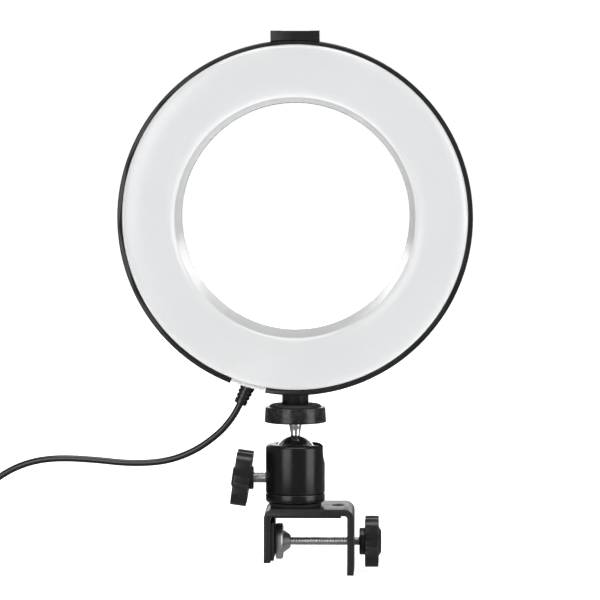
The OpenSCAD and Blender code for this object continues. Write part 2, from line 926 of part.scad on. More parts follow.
module strain_relief() {
  color("#161616")
    translate([0, relief_y, ring_z])
      at_ring(180 + relief_angle, 0) {
        translate([-5, -2, grommet_r])
          cube([10, 4, grommet_t]);
        translate([0, 0, grommet_r + 0.5])
          cylinder(h = ring_r - grommet_r - 0.9, r = relief_w / 2 - 0.1);
        translate([0, 0, ring_r - 0.5])
          rotate([0, relief_lean, 0])
            rotate_extrude()
              boot_section();
      }
}

module supply_leads() {
  lead_r = 0.5;
  lead_y = board_y + board_t + lead_r + 0.1;
  color("firebrick")
    translate([0, 0, ring_z])
      for (s = [-1, 1])
        at_ring(180 + relief_angle, grommet_r - 5.7)
          translate([s * 1.6, lead_y, 0]) {
            cylinder(h = 5.7, r = lead_r, $fn = 24);
            rod_y(-lead_r - 0.1, 0, lead_r, $fn = 24);
          }
}

// ---------- cord and controller ----------

module cord() {
  color("#181818")
    swept(cord_route, cord_d / 2);
}

module cord_coil() {
  color("#181818")
    translate([coil_x, 0, coil_z])
      rotate_extrude()
        translate([coil_r - coil_half_w, 0])
          square([2 * coil_half_w, coil_h]);
}

module cord_tail() {
  color("#181818")
    swept(tail_route, cord_d / 2);
}

module plug_lead() {
  color("#181818")
    swept(plug_route, cord_d / 2);
}

module cord_tie() {
  tie_w = 5;
  in_w = 2 * coil_half_w + 1;
  color("#303030")
    for (a = [20, 140, 260])
      translate([coil_x, 0, coil_z])
        rotate([0, 0, a])
          translate([coil_r, 0, coil_h / 2])
            difference() {
              cube([in_w + 2 * tie_t, tie_w, coil_h + 2 * tie_t], center = true);
              cube([in_w, tie_w + 1, coil_h], center = true);
            }
}

// The case's outline seen from above, inset by a distance
module case_outline(inset) {
  round_rect(case_l - 2 * inset, case_w - 2 * inset, 4 - inset);
}

module controller_base() {
  color("#1b1b1b")
    translate([case_x, case_y, store_top]) {
      difference() {
        linear_extrude(case_h / 2)
          case_outline(0);
        translate([0, 0, case_wall])
          linear_extrude(case_h)
            case_outline(case_wall);
      }
      for (sx = [-1, 1], sy = [-1, 1])
        translate([sx * (case_l / 2 - 6), sy * (case_w / 2 - 4), case_wall - eps])
          cylinder(h = board_c_z - store_top - case_wall + eps, r = 1.2, $fn = 24);
    }
}

module controller_lid() {
  color("#1b1b1b")
    translate([case_x, case_y, case_z])
      difference() {
        linear_extrude(case_h / 2)
          case_outline(0);
        translate([0, 0, -eps])
          linear_extrude(case_h / 2 - case_wall + eps)
            case_outline(case_wall);
        for (k = [0:3])
          translate([(k - 1.5) * button_pitch, 0, 0])
            cylinder(h = case_h, r = button_r + air);
      }
}

module controller_board() {
  color("seagreen")
    translate([case_x, case_y, board_c_z])
      linear_extrude(case_board_t)
        round_rect(case_l - 2 * case_wall - 2, case_w - 2 * case_wall - 1, 1.5);
}

// Underside of the buttons
button_low = store_top + case_h - case_wall - air - 1;

module controller_switches() {
  top = button_low - button_travel - 0.1;
  deck = board_c_z + case_board_t;
  color("dimgray")
    for (k = [0:3])
      translate([case_x + (k - 1.5) * button_pitch, case_y, deck]) {
        translate([-2.25, -2.25, 0])
          cube([4.5, 4.5, switch_h]);
        cylinder(h = top - deck, r = 1, $fn = 24);
      }
}

module button(k) {
  translate([case_x + (k - 1.5) * button_pitch, case_y, button_low]) {
    cylinder(h = 1, r = button_r + 0.8);
    cylinder(h = 1 + air + case_wall + button_rise, r = button_r);
  }
}

module button_power() {
  color("#c8c8c8")
    button(0);
}

module button_colour() {
  color("#c8c8c8")
    button(1);
}

module button_brighter() {
  color("#c8c8c8")
    button(2);
}

module button_dimmer() {
  color("#c8c8c8")
    button(3);
}

module plug_grip() {
  color("#181818")
    translate([0, plug_y, plug_z])
      difference() {
        union() {
          rod_x(plug_back, plug_back + plug_relief, 2.3, 3.3, $fn = 32);
          translate([plug_back + plug_relief - eps, 0, 0])
            rotate([90, 0, 90])
              linear_extrude(plug_front - plug_back - plug_relief)
                round_rect(plug_w, plug_h, 1.6);
        }
        translate([plug_front - 3, -shell_w / 2 - still_fit, -shell_h / 2 - still_fit])
          cube([4, shell_w + 2 * still_fit, shell_h + 2 * still_fit]);
      }
}

module plug_shell() {
  color("silver")
    translate([0, plug_y, plug_z])
      difference() {
        translate([plug_front - 3 + still_fit, -shell_w / 2, -shell_h / 2])
          cube([shell_tip - plug_front + 3 - still_fit, shell_w, shell_h]);
        translate([plug_front - 4, -shell_w / 2 + shell_t, -shell_h / 2 + shell_t])
          cube([shell_tip - plug_front + 6, shell_w - 2 * shell_t, shell_h - 2 * shell_t]);
      }
}

module plug_tongue() {
  color("white")
    translate([plug_front - 3 + still_fit, plug_y - shell_w / 2 + shell_t, plug_z + 0.1])
      cube([shell_tip - plug_front + 2, shell_w - 2 * shell_t, shell_h / 2 - shell_t - 0.1]);
}

clamp_bracket();
web_pad();
jaw_pad();
clamp_foot();
clamp_screw();
clamp_knob();
clamp_knob_cap();
head_bolt();
head_washer();
head_base();
head_body();
pressure_cup();
set_screw();
lock_tip();
lock_screw();
lock_knob();
lock_knob_cap();
ball();
stem();
stud();
lock_disc();
pad_disc();
neck_insert();
ring_housing();
diffuser();
led_board();
led_chips();
led_resistors();
board_screws();
cold_shoe();
strain_relief();
supply_leads();
cord();
cord_coil();
cord_tail();
cord_tie();
controller_base();
controller_lid();
controller_board();
controller_switches();
button_power();
button_colour();
button_brighter();
button_dimmer();
plug_lead();
plug_grip();
plug_shell();
plug_tongue();
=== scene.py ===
import json
from math import cos, pi, radians, sin, sqrt

import bpy
from bpy.props import FloatProperty, FloatVectorProperty, IntProperty, PointerProperty
from mathutils import Matrix, Vector

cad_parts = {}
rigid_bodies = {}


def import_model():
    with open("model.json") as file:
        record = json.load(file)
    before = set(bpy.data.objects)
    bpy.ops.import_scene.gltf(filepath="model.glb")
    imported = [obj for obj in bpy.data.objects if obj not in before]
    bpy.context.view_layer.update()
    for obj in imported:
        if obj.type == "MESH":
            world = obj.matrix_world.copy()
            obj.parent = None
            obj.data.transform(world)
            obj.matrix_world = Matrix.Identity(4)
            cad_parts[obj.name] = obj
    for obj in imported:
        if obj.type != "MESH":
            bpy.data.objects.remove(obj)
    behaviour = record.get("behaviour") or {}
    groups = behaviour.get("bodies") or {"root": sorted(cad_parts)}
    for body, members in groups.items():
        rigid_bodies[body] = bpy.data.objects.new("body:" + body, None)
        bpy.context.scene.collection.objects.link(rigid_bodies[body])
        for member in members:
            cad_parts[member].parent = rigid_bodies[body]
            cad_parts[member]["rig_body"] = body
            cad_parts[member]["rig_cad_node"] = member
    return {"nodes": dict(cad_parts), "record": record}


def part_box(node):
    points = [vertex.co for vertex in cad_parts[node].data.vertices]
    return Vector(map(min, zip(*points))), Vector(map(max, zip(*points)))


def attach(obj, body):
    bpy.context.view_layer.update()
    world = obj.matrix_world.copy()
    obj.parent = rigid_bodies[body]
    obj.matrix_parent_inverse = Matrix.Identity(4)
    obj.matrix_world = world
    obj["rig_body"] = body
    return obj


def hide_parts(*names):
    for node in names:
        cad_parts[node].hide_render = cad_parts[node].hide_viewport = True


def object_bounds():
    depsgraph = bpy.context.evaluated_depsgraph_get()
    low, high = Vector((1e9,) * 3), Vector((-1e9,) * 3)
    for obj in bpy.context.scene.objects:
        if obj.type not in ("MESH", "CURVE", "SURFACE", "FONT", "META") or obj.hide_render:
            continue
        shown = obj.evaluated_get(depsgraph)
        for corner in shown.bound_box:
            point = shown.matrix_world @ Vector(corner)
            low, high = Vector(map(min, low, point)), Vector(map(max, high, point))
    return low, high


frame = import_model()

bl_info = {
    "name": "Ring light on a mini ball head",
    "version": (1, 0, 0),
    "blender": (4, 5, 0),
    "location": "View3D > Sidebar > Ring Light",
    "description": "Builds the looks of a ring light, its ball head, its edge clamp and its cord",
    "category": "Object",
}

MM = 0.001
MERGE = 2e-6
COPY_MERGE = 4e-6
THREAD_MERGE = 1e-6
FLAT_ANGLE = 0.6
EDGE_SMOOTH = 32
CAD_BOX = [list(corner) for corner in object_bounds()]
RECORD = frame["record"]
BODY_OF = {n: body for body, nodes in RECORD["behaviour"]["bodies"].items() for n in nodes}
SLOT_OF = {part["node"]: part["material_slot"] for part in RECORD["subparts"]}


# ---------- sizes and colours that a user would change ----------


def length(name, text, default, **more):
    return FloatProperty(name=name, description=text, default=default, unit="LENGTH", precision=5, **more)


def colour(name, text, default):
    return FloatVectorProperty(
        name=name, description=text, default=default, subtype="COLOR", size=3, min=0, max=1
    )


class RingLightSizes(bpy.types.PropertyGroup):
    """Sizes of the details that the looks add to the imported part."""

    edge: length("Edge radius", "Rounding of the moulded edges", 0.00028)
    metal_edge: length("Metal edge radius", "Rounding of the machined and sheared edges", 0.00018)
    diffuser_wall: length("Diffuser wall", "Thickness of the diffuser", 0.0015)
    diffuser_rise: length("Diffuser rise", "How far the diffuser stands proud of the rim", 0.0037)
    disc_groove: length("Disc groove depth", "Depth of the turned lines round the lock disc", 0.00018)
    disc_lines: IntProperty(
        name="Disc lines", description="Number of turned lines round the lock disc", default=9, min=1
    )
    clamp_pitch: length("Clamp pitch", "Pitch of the clamping screw", 0.0007)
    lock_pitch: length("Lock pitch", "Pitch of the locking screw", 0.0008)
    thread_depth: length("Thread depth", "Depth of the screws' threads", 0.00042)
    cord_thickness: length("Cord diameter", "Thickness of the cord", 0.003)


class RingLightFinishes(bpy.types.PropertyGroup):
    """Colours of the finishes."""

    plastic: colour("Casing plastic", "Satin black plastic of the casing", (0.007, 0.007, 0.0075))
    diffuser: colour("Diffuser", "Off-white plastic of the diffuser", (0.622, 0.622, 0.62))
    alloy: colour("Black alloy", "Black satin metal of the head and the disc", (0.008, 0.008, 0.009))
    coat: colour("Powder coat", "Black coat of the clamp's bracket", (0.009, 0.009, 0.01))
    rubber: colour("Rubber", "Black rubber of the pads", (0.01, 0.01, 0.01))
    cord: colour("Cord", "Black soft plastic of the cord", (0.007, 0.007, 0.0075))
    steel: colour("Zinc steel", "Bright zinc plate on the screws", (0.8, 0.8, 0.81))
    chrome: colour("Chrome", "Polished plate of the ball and the stem", (0.74, 0.745, 0.76))


# ---------- working by hand in code ----------


def deselect():
    """Leaves edit mode and selects nothing."""
    if bpy.context.object and bpy.context.object.mode != "OBJECT":
        bpy.ops.object.mode_set(mode="OBJECT")
    bpy.ops.object.select_all(action="DESELECT")


def pick(piece):
    """Makes one piece the only selected and active object."""
    deselect()
    piece.select_set(True)
    bpy.context.view_layer.objects.active = piece


def settle(piece):
    """Puts the piece's place, turn and scale into its mesh."""
    pick(piece)
    bpy.ops.object.transform_apply(location=True, rotation=True, scale=True)


def modify(piece, kind, **values):
    """Adds a modifier, sets it and applies it."""
    pick(piece)
    bpy.ops.object.modifier_add(type=kind)
    modifier = piece.modifiers[-1]
    for key, value in values.items():
        setattr(modifier, key, value)
    bpy.ops.object.modifier_apply(modifier=modifier.name)


def round_edges(piece, width, segments=2, angle=28):
    """Rounds the sharp edges and smooths the shading between them."""
    modify(
        piece, "BEVEL", width=width, segments=segments, limit_method="ANGLE",
        angle_limit=radians(angle), use_clamp_overlap=True, harden_normals=False,
    )
    pick(piece)
    bpy.ops.object.shade_smooth_by_angle(angle=radians(EDGE_SMOOTH))


def close_up(piece):
    """Merges doubles and turns all faces outwards."""
    pick(piece)
    bpy.ops.object.mode_set(mode="EDIT")
    bpy.ops.mesh.select_all(action="SELECT")
    bpy.ops.mesh.remove_doubles(threshold=MERGE)
    bpy.ops.mesh.normals_make_consistent(inside=False)
    bpy.ops.object.mode_set(mode="OBJECT")


def stand_for(piece, *nodes):
    """The piece replaces these CAD nodes, rides on their body and takes their finish."""
    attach(piece, BODY_OF[nodes[0]])
    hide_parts(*nodes)
    give_finish(piece, SLOT_OF[nodes[0]])


def refine(node, name, width, segments=2, angle=28):
    """A merged copy of a CAD node with its sharp edges rounded, standing for the node."""
    deselect()
    source = frame["nodes"][node]
    source.hide_viewport = False
    source.select_set(True)
    bpy.context.view_layer.objects.active = source
    bpy.ops.object.duplicate(linked=False)
    piece = bpy.context.object
    piece.name = name
    piece.parent = None
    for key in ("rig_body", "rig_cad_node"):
        if key in piece:
            del piece[key]
    bpy.ops.mesh.customdata_custom_splitnormals_clear()
    bpy.ops.object.mode_set(mode="EDIT")
    bpy.ops.mesh.select_all(action="SELECT")
    bpy.ops.mesh.remove_doubles(threshold=COPY_MERGE)
    bpy.ops.mesh.dissolve_limited(angle_limit=radians(FLAT_ANGLE))
    bpy.ops.object.mode_set(mode="OBJECT")
    round_edges(piece, width, segments, angle)
    stand_for(piece, node)
    return piece


def start_line(name, place):
    """A mesh of one vertex, in edit mode, ready to be extruded into a line."""
    deselect()
    bpy.ops.mesh.primitive_plane_add(size=MM, location=place)
    piece = bpy.context.object
    piece.name = name
    bpy.ops.object.mode_set(mode="EDIT")
    bpy.ops.mesh.select_mode(type="VERT")
    bpy.ops.mesh.select_all(action="SELECT")
    bpy.ops.mesh.merge(type="CENTER")
    return piece


def draw_line(points):
    """Extrudes the selected vertex along the rest of a line of points."""
    for here, there in zip(points, points[1:]):
        bpy.ops.mesh.extrude_region_move(
            TRANSFORM_OT_translate={"value": Vector(there) - Vector(here)}
        )


def turned(name, profile, axis, centre=(0, 0, 0), steps=96):
    """A round piece: a line of (radius, distance along the axis) spun about the axis."""
    out = Vector((0, 0, 1)) if axis == "X" else Vector((1, 0, 0))
    along = {"X": Vector((1, 0, 0)), "Y": Vector((0, 1, 0)), "Z": Vector((0, 0, 1))}[axis]
    points = [Vector(centre) + out * radius + along * far for radius, far in profile]
    piece = start_line(name, points[0])
    draw_line(points)
    bpy.ops.mesh.select_all(action="SELECT")
    bpy.ops.mesh.spin(steps=steps, angle=2 * pi, center=centre, axis=along)
    bpy.ops.object.mode_set(mode="OBJECT")
    settle(piece)
    close_up(piece)
    return piece


def threaded(name, start, end, radius, pitch, depth, centre):
    """A screw's shank along X with a real helical thread, closed at both ends."""
    root = radius - depth
    crest_start, crest_end = 0.42 * pitch, 0.58 * pitch
    steps_per_turn = 28
    turns = int((end - start) / pitch) - 1
    piece = start_line(name, (root, 0, 0))
    draw_line([(root, 0, 0), (radius, 0, crest_start), (radius, 0, crest_end), (root, 0, pitch)])
    bpy.ops.object.mode_set(mode="OBJECT")
    settle(piece)
    modify(
        piece, "SCREW", axis="Z", angle=2 * pi, steps=steps_per_turn,
        render_steps=steps_per_turn, iterations=turns,
        screw_offset=pitch, use_merge_vertices=True, merge_threshold=THREAD_MERGE,
    )
    pick(piece)
    bpy.ops.object.mode_set(mode="EDIT")
    bpy.ops.mesh.select_all(action="SELECT")
    bpy.ops.mesh.remove_doubles(threshold=THREAD_MERGE)
    bpy.ops.mesh.fill_holes(sides=0)
    bpy.ops.object.mode_set(mode="OBJECT")
    piece.rotation_euler = (0, pi / 2, 0)
    spare = (end - start - (turns + 1) * pitch) / 2
    piece.location = (start + spare, centre[1], centre[2])
    settle(piece)
    close_up(piece)
    bpy.ops.object.shade_smooth_by_angle(angle=radians(30))
    return piece


# ---------- finishes ----------

FINISHES = {}


class Recipe:
    """A material's node tree, built up one step at a time."""

    def __init__(self, name):
        self.material = bpy.data.materials.new(name)
        self.material.use_nodes = True
        self.tree = self.material.node_tree
        self.shader = self.tree.nodes["Principled BSDF"]
        self.place = self.node("ShaderNodeTexCoord").outputs["Object"]

    def node(self, kind, **values):
        made = self.tree.nodes.new(kind)
        for key, value in values.items():
            if hasattr(made, key):
                setattr(made, key, value)
            else:
                made.inputs[key].default_value = value
        return made

    def link(self, out, into):
        self.tree.links.new(out, into)

    def uniform(self, **values):
        """Sets values that are the same all over on the shader's own sockets."""
        for key, value in values.items():
            self.shader.inputs[key.replace("_", " ")].default_value = value

    def noise(self, scale, detail=4.0, stretch=(1, 1, 1), roughness=0.55):
        mapping = self.node("ShaderNodeMapping")
        mapping.inputs["Scale"].default_value = stretch
        self.link(self.place, mapping.inputs["Vector"])
        made = self.node("ShaderNodeTexNoise", Scale=scale, Detail=detail, Roughness=roughness)
        self.link(mapping.outputs["Vector"], made.inputs["Vector"])
        return made.outputs["Fac"]

    def spread(self, value, low, high, from_low=0.3, from_high=0.7):
        """Maps a noise's middle range onto low to high."""
        made = self.node("ShaderNodeMapRange")
        self.link(value, made.inputs["Value"])
        made.inputs["From Min"].default_value = from_low
        made.inputs["From Max"].default_value = from_high
        made.inputs["To Min"].default_value = low
        made.inputs["To Max"].default_value = high
        return made.outputs["Result"]

    def blend(self, share, first, second):
        """Mixes two colours, each a colour or an output."""
        made = self.node("ShaderNodeMix", data_type="RGBA")
        self.link(share, made.inputs[0])
        for socket, value in ((made.inputs[6], first), (made.inputs[7], second)):
            if isinstance(value, bpy.types.NodeSocket):
                self.link(value, socket)
            else:
                socket.default_value = (*value, 1)
        return made.outputs[2]

    def edge_share(self, radius, low=0.02, high=0.25):
        """One along worn edges and nought elsewhere."""
        rounded = self.node("ShaderNodeBevel", samples=4, Radius=radius)
        flat = self.node("ShaderNodeNewGeometry")
        dot = self.node("ShaderNodeVectorMath", operation="DOT_PRODUCT")
        self.link(rounded.outputs["Normal"], dot.inputs[0])
        self.link(flat.outputs["Normal"], dot.inputs[1])
        return self.spread(dot.outputs["Value"], 1, 0, 1 - high, 1 - low)

    def multiply(self, first, second):
        made = self.node("ShaderNodeMath", operation="MULTIPLY")
        self.link(first, made.inputs[0])
        self.link(second, made.inputs[1])
        return made.outputs["Value"]

    def bump(self, *layers):
        """Stacks bumps: each layer is a height output, a strength and a depth in metres."""
        normal = None
        for height, strength, depth in layers:
            made = self.node("ShaderNodeBump", Strength=strength, Distance=depth)
            self.link(height, made.inputs["Height"])
            if normal:
                self.link(normal, made.inputs["Normal"])
            normal = made.outputs["Normal"]
        self.link(normal, self.shader.inputs["Normal"])

    def base(self, output):
        self.link(output, self.shader.inputs["Base Color"])

    def rough(self, output):
        self.link(output, self.shader.inputs["Roughness"])


def tint(colour_value, factor):
    return tuple(min(1.0, channel * factor) for channel in colour_value)


def recipe_tone(recipe, share, colour_value, low, high):
    """A colour that drifts between a darker and a lighter tone of itself."""
    return recipe.blend(recipe.spread(share, 0, 1), tint(colour_value, low), tint(colour_value, high))


def moulded_plastic(name, colour_value, low, high, grain, strength):
    """Moulded plastic: a fine spark-eroded grain, faint handling marks and slightly polished edges."""
    recipe = Recipe(name)
    broad = recipe.noise(45, 3)
    fine = recipe.noise(grain, 3, roughness=0.7)
    marks = recipe.noise(260, 5, (1, 1, 0.15))
    worn = recipe.multiply(recipe.edge_share(0.0004), recipe.spread(marks, 0.1, 0.9))
    tone = recipe_tone(recipe, broad, colour_value, 0.85, 1.25)
    worn_tone = tint(colour_value, 2.6)
    recipe.base(recipe.blend(worn, tone, worn_tone))
    recipe.rough(recipe.spread(marks, low, high))
    recipe.uniform(IOR=1.5)
    recipe.bump((fine, strength, 0.00004), (marks, 0.05, 0.00003))
    return recipe.material


def brushed_metal(name, colour_value, low, high, stretch, metallic=1.0, worn_colour=None):
    """Turned or plated metal: fine lines round the axis, drifting gloss and rubbed edges."""
    recipe = Recipe(name)
    lines = recipe.noise(900, 4, stretch, 0.6)
    broad = recipe.noise(60, 3)
    base = recipe_tone(recipe, broad, colour_value, 0.9, 1.1)
    if worn_colour:
        worn = recipe.multiply(recipe.edge_share(0.00035), recipe.spread(recipe.noise(500, 4), 0, 0.8))
        base = recipe.blend(worn, base, worn_colour)
    recipe.base(base)
    recipe.rough(recipe.spread(recipe.noise(180, 4), low, high))
    recipe.uniform(Metallic=metallic)
    recipe.bump((lines, 0.05, 0.00001))
    return recipe.material


def diffuser_plastic(values):
    """Milky plastic that lets light in a little way, with a faint ripple from the mould."""
    recipe = Recipe("diffuser_plastic")
    broad = recipe.noise(14, 2)
    dust = recipe.noise(420, 5, roughness=0.7)
    recipe.base(recipe_tone(recipe, broad, values.diffuser, 0.985, 1.01))
    recipe.rough(recipe.spread(dust, 0.2, 0.26))
    recipe.uniform(IOR=1.52, Subsurface_Weight=0.9, Subsurface_Scale=0.008)
    recipe.shader.inputs["Subsurface Radius"].default_value = (1.0, 0.95, 0.9)
    recipe.bump((recipe.noise(2600, 2), 0.03, 0.00002), (broad, 0.05, 0.0001))
    return recipe.material


def powder_coat(values):
    """Baked powder on steel: an orange-peel ripple, specks and bright rubbed corners."""
    recipe = Recipe("powder_coat")
    peel = recipe.noise(1500, 2, roughness=0.4)
    specks = recipe.noise(5200, 2)
    worn = recipe.multiply(
        recipe.edge_share(0.0005, 0.04, 0.3), recipe.spread(recipe.noise(330, 5), 0, 0.55, 0.45, 0.7)
    )
    tone = recipe_tone(recipe, specks, values.coat, 0.8, 1.5)
    recipe.base(recipe.blend(worn, tone, (0.11, 0.11, 0.115)))
    recipe.rough(recipe.spread(recipe.noise(120, 4), 0.26, 0.38))
    recipe.uniform(IOR=1.5)
    recipe.bump((peel, 0.35, 0.00004), (specks, 0.1, 0.00001))
    return recipe.material


def rubber(name, colour_value, low, high, scale):
    """Rubber or soft plastic: matt, slightly dusty, with a fine even grain."""
    recipe = Recipe(name)
    dust = recipe.noise(380, 6, roughness=0.7)
    recipe.base(recipe_tone(recipe, dust, colour_value, 0.8, 1.5))
    recipe.rough(recipe.spread(dust, low, high))
    recipe.uniform(IOR=1.5)
    recipe.bump((recipe.noise(scale, 3), 0.2, 0.00003))
    return recipe.material


def woven_tie(name):
    """A narrow woven tie: two crossing sets of threads."""
    recipe = Recipe(name)
    over = recipe.node("ShaderNodeTexWave", Scale=900, Distortion=1.2)
    under = recipe.node("ShaderNodeTexWave", bands_direction="Z", Scale=900, Distortion=1.2)
    for wave in (over, under):
        recipe.link(recipe.place, wave.inputs["Vector"])
    weave = recipe.multiply(over.outputs["Fac"], under.outputs["Fac"])
    recipe.base(recipe.blend(weave, (0.012, 0.012, 0.013), (0.05, 0.05, 0.052)))
    recipe.rough(recipe.spread(recipe.noise(300), 0.75, 0.92))
    recipe.uniform(Sheen_Weight=0.3)
    recipe.bump((weave, 0.5, 0.0001))
    return recipe.material


def circuit_board():
    """Green lacquer over copper tracks."""
    recipe = Recipe("circuit_board")
    tracks = recipe.node("ShaderNodeTexBrick", Scale=180, offset=0.5)
    tracks.inputs["Mortar Size"].default_value = 0.06
    recipe.link(recipe.place, tracks.inputs["Vector"])
    recipe.base(recipe.blend(tracks.outputs["Fac"], (0.01, 0.09, 0.035), (0.03, 0.2, 0.08)))
    recipe.rough(recipe.spread(recipe.noise(200), 0.3, 0.5))
    recipe.bump((tracks.outputs["Fac"], 0.3, 0.00005))
    return recipe.material


def make_finishes(values):
    """One material for each of the record's slots."""
    plain_white = (0.78, 0.78, 0.76)
    FINISHES.update(
        casing_plastic=moulded_plastic("casing_plastic", values.plastic, 0.26, 0.36, 3600, 0.25),
        knob_plastic=moulded_plastic("knob_plastic", tint(values.plastic, 1.15), 0.26, 0.36, 2600, 0.2),
        white_plastic=moulded_plastic("white_plastic", plain_white, 0.4, 0.55, 2600, 0.15),
        button_rubber=rubber("button_rubber", (0.3, 0.3, 0.31), 0.5, 0.62, 3000),
        led_resin=moulded_plastic("led_resin", (0.85, 0.72, 0.3), 0.25, 0.35, 2000, 0.1),
        diffuser_plastic=diffuser_plastic(values),
        powder_coat=powder_coat(values),
        black_alloy=brushed_metal(
            "black_alloy", values.alloy, 0.2, 0.28, (0.12, 0.12, 6), 0.35, (0.16, 0.16, 0.17)
        ),
        zinc_steel=brushed_metal("zinc_steel", values.steel, 0.3, 0.42, (4, 0.3, 0.3)),
        chrome=brushed_metal("chrome", values.chrome, 0.14, 0.22, (0.3, 0.3, 3)),
        brass=brushed_metal("brass", (0.66, 0.48, 0.2), 0.24, 0.36, (3, 0.3, 0.3)),
        pad_rubber=rubber("pad_rubber", values.rubber, 0.62, 0.82, 2400),
        cord_rubber=rubber("cord_rubber", values.cord, 0.2, 0.3, 2000),
        tie_fabric=woven_tie("tie_fabric"),
        circuit_board=circuit_board(),
    )


def give_finish(piece, slot):
    """Fills all of a piece's material slots with one finish."""
    if not FINISHES:
        make_finishes(bpy.context.scene.ring_light_finishes)
    if not piece.data.materials:
        piece.data.materials.append(None)
    for place in range(len(piece.data.materials)):
        piece.data.materials[place] = FINISHES[slot]


# ---------- camera, light and floor ----------


class RINGLIGHT_OT_stage(bpy.types.Operator):
    """Sets up the pale floor, the soft studio light and the camera."""

    bl_idname = "ring_light.stage"
    bl_label = "Stage"

    def execute(self, context):
        self.camera()
        self.floor()
        self.lights()
        return {"FINISHED"}

    def camera(self):
        aim = Vector((0.0021, 0, 0.0971))
        distance, side, height = 1.9, radians(1.5), radians(4.2)
        away = Vector((sin(side) * cos(height), -cos(side) * cos(height), sin(height)))
        bpy.ops.object.camera_add(location=aim + away * distance)
        camera = bpy.context.object
        camera.name = "camera"
        camera.rotation_euler = (-away).to_track_quat("-Z", "Y").to_euler()
        camera.data.sensor_width = 36
        camera.data.lens = 252.5
        camera.data.clip_start = 0.05
        camera.data.clip_end = 60
        bpy.context.scene.camera = camera

    def floor(self):
        """A wide pale floor that runs out to the horizon."""
        deselect()
        bpy.ops.mesh.primitive_plane_add(size=90, location=(0, 0, CAD_BOX[0][2]))
        floor = bpy.context.object
        floor.name = "studio_floor"
        settle(floor)
        bpy.ops.object.mode_set(mode="EDIT")
        bpy.ops.mesh.select_all(action="SELECT")
        bpy.ops.mesh.subdivide(number_cuts=8)
        bpy.ops.object.mode_set(mode="OBJECT")
        recipe = Recipe("pale_floor")
        recipe.base(recipe_tone(recipe, recipe.noise(3, 2), (0.86, 0.86, 0.86), 0.99, 1.01))
        recipe.rough(recipe.spread(recipe.noise(8, 2), 0.7, 0.8))
        recipe.bump((recipe.noise(400, 2), 0.02, 0.0001))
        recipe.uniform(Emission_Color=(1, 1, 1, 1), Emission_Strength=0.82)
        floor.data.materials.append(recipe.material)
        floor.visible_glossy = False

    def lights(self):
        aim = Vector((0, 0, 0.1))
        for name, place, width, height, power in (
            ("left_softbox", (-0.64, -1.02, 0.25), 0.7, 1.1, 7.5),
            ("right_softbox", (1.06, -0.56, 0.2), 0.7, 1.1, 8.5),
            ("top_softbox", (0.0, -0.1, 1.5), 1.4, 1.0, 19.0),
            ("back_softbox", (0.0, 1.5, 0.32), 1.4, 0.3, 2.8),
        ):
            bpy.ops.object.light_add(type="AREA", location=place)
            light = bpy.context.object
            light.name = name
            light.data.shape = "RECTANGLE"
            light.data.size = width
            light.data.size_y = height
            light.data.energy = power
            light.visible_camera = False
            light.rotation_euler = (Vector(place) - aim).to_track_quat("Z", "Y").to_euler()
        self.room()
        bpy.context.scene.view_settings.view_transform = "Standard"

    def room(self):
        """A white room, dimmer to light and reflections, as if its walls were far away."""
        seen_strength, unseen_strength, gloss_share = 1.05, 0.3, 0.7
        world = bpy.data.worlds.new("soft_room")
        bpy.context.scene.world = world
        world.use_nodes = True
        tree = world.node_tree
        path = tree.nodes.new("ShaderNodeLightPath")
        seen = tree.nodes.new("ShaderNodeMapRange")
        seen.inputs["To Min"].default_value = unseen_strength
        seen.inputs["To Max"].default_value = seen_strength
        gloss = tree.nodes.new("ShaderNodeMapRange")
        gloss.inputs["To Min"].default_value = 1.0
        gloss.inputs["To Max"].default_value = gloss_share
        strength = tree.nodes.new("ShaderNodeMath")
        strength.operation = "MULTIPLY"
        tree.links.new(path.outputs["Is Camera Ray"], seen.inputs["Value"])
        tree.links.new(path.outputs["Is Glossy Ray"], gloss.inputs["Value"])
        tree.links.new(seen.outputs["Result"], strength.inputs[0])
        tree.links.new(gloss.outputs["Result"], strength.inputs[1])
        tree.links.new(strength.outputs["Value"], tree.nodes["Background"].inputs["Strength"])
        tree.nodes["Background"].inputs["Color"].default_value = (1, 1, 1, 1)


# ---------- cord, coil and controller ----------

# The cord's route from the strain relief to the coil, in millimetres
ROUTE_OUT = [
    (-25, 2, 50), (-28, 2, 44.5), (-32.5, 2, 38.7), (-38, 2.5, 33.7), (-44.5, 3, 29.2),
    (-51.5, 4, 25.8), (-58.5, 5, 23.6), (-65.5, 6, 22.5), (-73, 7, 22.1), (-80.5, 8, 22.3),
    (-88, 10, 22.8), (-96, 12, 23.2), (-104, 13.5, 23.4), (-112, 15, 23), (-120, 16.5, 21.6),
    (-128, 18, 18.8), (-135.5, 19, 14.6), (-142.5, 19.6, 9.2), (-149.5, 20, 3),
    (-156, 20.2, -3.5), (-162.5, 20.4, -9.8), (-169, 21, -15.6), (-176, 21.2, -21.5),
    (-183, 21.2, -23.7), (-190, 21.2, -23.8),
]
# Its last stretch, from the coil up to the controller
ROUTE_BACK = [
    (-190, -21.2, -14.5), (-183, -21.2, -14.5), (-176, -21.2, -14.3), (-170, -20.7, -13.7),
    (-164, -18.6, -12.4), (-159.8, -14.8, -11), (-157.6, -10, -9.7), (-157.6, -5, -8.7),
    (-159.8, -0.6, -8), (-164, 3, -7.6), (-169, 4, -7.55), (-174, 4, -7.55),
]
# The lead from the controller to the plug
ROUTE_PLUG = [
    (-222, 4, -7.55), (-227, 4, -7.55), (-232, 2.6, -7.75), (-235.7, -1, -8.05),
    (-237, -6, -8.25), (-235.7, -11, -8.45), (-232, -14.6, -8.55), (-227, -16, -8.55),
    (-222, -16, -8.55),
]
COIL_X = -190
COIL_OUT, COIL_STEP, COIL_LIFT = 21.2, 3.2, 3.1
COIL_START = -23.8
COIL_TURNS = 10.5
FIRST_SHIFT = 285
SHIFT_SPAN = 45


